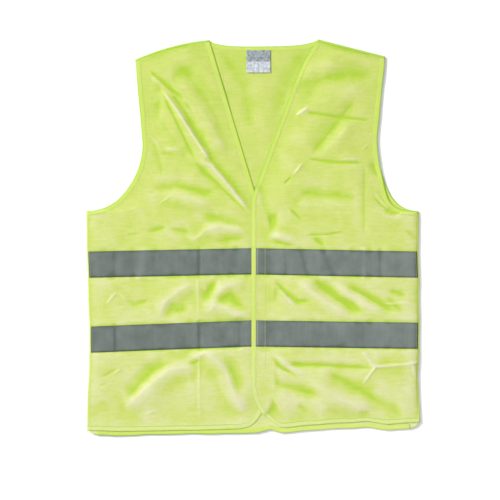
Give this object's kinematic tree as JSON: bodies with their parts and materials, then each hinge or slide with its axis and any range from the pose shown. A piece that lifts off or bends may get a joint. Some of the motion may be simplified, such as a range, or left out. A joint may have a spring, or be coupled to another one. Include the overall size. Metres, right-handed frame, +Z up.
{
  "type": "high visibility vest",
  "caption": "Sleeveless lime-yellow safety vest lying flat, with a V neck, two grey reflective tapes, bound edges and overlapping fronts that open.",
  "frame": {"origin": "middle of the footprint on the surface that the vest lies on", "axes": "+Y towards the collar, +X towards the wearer's left side (the viewer's right), +Z up, out of the vest's front"},
  "size_m": [0.633, 0.75, 0.0105],
  "materials": {
    "knit": "lime-yellow warp-knitted polyester, matt with a soft sheen",
    "binding": "narrow woven polyester binding, slightly yellower than the knit",
    "reflective_tape": "grey retroreflective glass-bead tape on woven backing, satin",
    "hooks": "woven strip of small plastic hooks",
    "loops": "brushed loop pile strip",
    "care_label": "white satin ribbon",
    "size_label": "grey satin ribbon"
  },
  "bodies": {
    "back": {"back_panel": "knit", "back_upper_tape": "reflective_tape", "back_lower_tape": "reflective_tape", "back_hem_binding": "binding", "neck_binding": "binding", "left_armhole_binding": "binding", "right_armhole_binding": "binding", "left_shoulder_seam": "knit", "right_shoulder_seam": "knit", "left_side_seam": "knit", "right_side_seam": "knit", "left_front_side": "knit", "right_front_side": "knit", "left_upper_tape_side": "reflective_tape", "left_lower_tape_side": "reflective_tape", "right_upper_tape_side": "reflective_tape", "right_lower_tape_side": "reflective_tape", "left_hem_binding": "binding", "right_hem_binding": "binding"},
    "left_front": {"left_front_flap": "knit", "left_front_binding": "binding", "left_upper_tape_flap": "reflective_tape", "left_lower_tape_flap": "reflective_tape", "hook_strip": "hooks"},
    "right_front": {"right_front_flap": "knit", "right_front_binding": "binding", "right_upper_tape_flap": "reflective_tape", "right_lower_tape_flap": "reflective_tape", "loop_strip": "loops"},
    "neck_labels": {"care_label": "care_label", "size_label": "size_label"}
  },
  "joints": [
    {"name": "left_front_open", "type": "hinge", "parent": "back", "child": "left_front", "pos_m": [0.18, -0.0015, 0.013], "axis": [-0.1842, 0.9829, 0], "range_deg": [0, 170]},
    {"name": "right_front_open", "type": "hinge", "parent": "back", "child": "right_front", "pos_m": [-0.099, -0.0015, 0.011], "axis": [-0.0774, -0.997, 0], "range_deg": [0, 162]},
    {"name": "label_flip", "type": "hinge", "parent": "back", "child": "neck_labels", "pos_m": [0.013, 0.3528, 0.0023], "axis": [-1, 0, 0], "range_deg": [0, 150]}
  ],
  "couplings": [
    {"joint": "right_front_open", "follows": "left_front_open", "ratio": 0.95}
  ]
}
